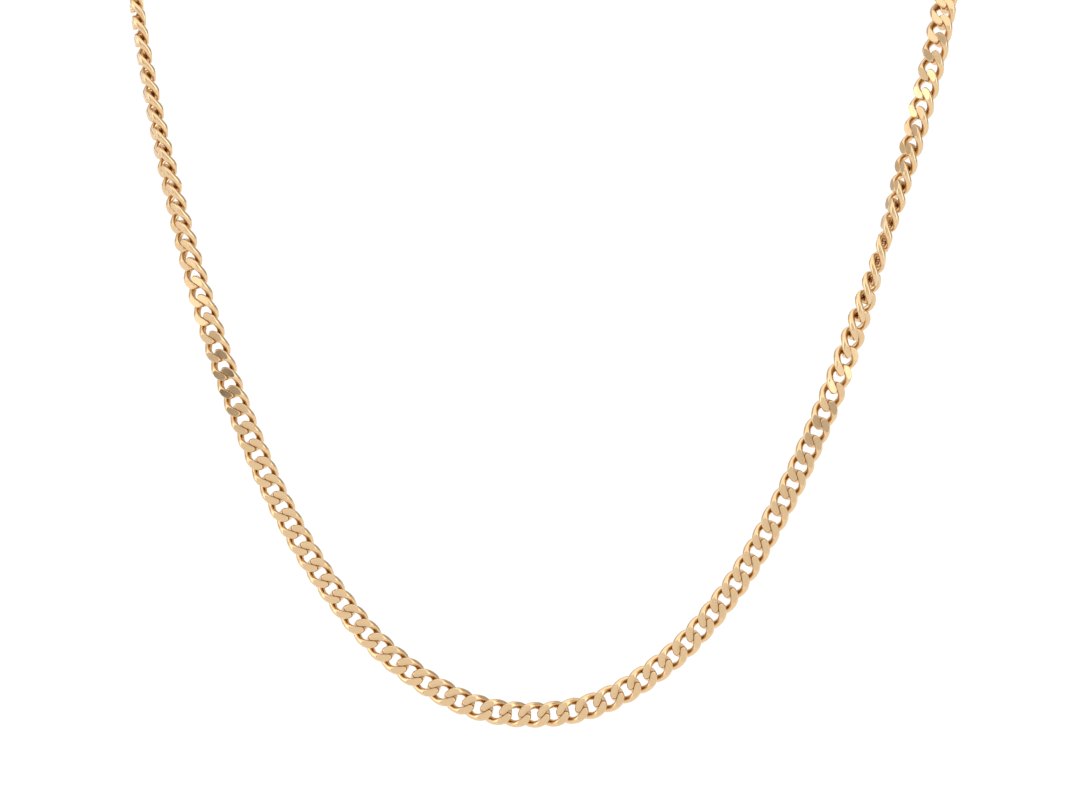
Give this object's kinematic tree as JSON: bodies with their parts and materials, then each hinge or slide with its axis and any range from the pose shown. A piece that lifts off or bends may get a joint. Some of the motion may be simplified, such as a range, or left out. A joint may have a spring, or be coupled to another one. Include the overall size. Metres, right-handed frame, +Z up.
{
  "type": "curb chain necklace",
  "caption": "Closed necklace of flat filed curb chain that hangs in a deep U at the front and closes with a plain clasp at the nape.",
  "frame": {"origin": "the middle of the neck, at the height where the chain goes round it", "axes": "+Z up along the neck, -Y to the front, where the U hangs, +X to the right as seen from the front"},
  "size_m": [0.124, 0.0875, 0.1153],
  "materials": {
    "gold_chain": "polished yellow gold with a rosy cast, filed flat on both faces, darker where the links cross",
    "gold_clasp": "polished yellow gold with a rosy cast"
  },
  "bodies": {
    "root": {"chain_left": "gold_chain", "chain_right": "gold_chain", "clasp": "gold_clasp"}
  },
  "joints": []
}
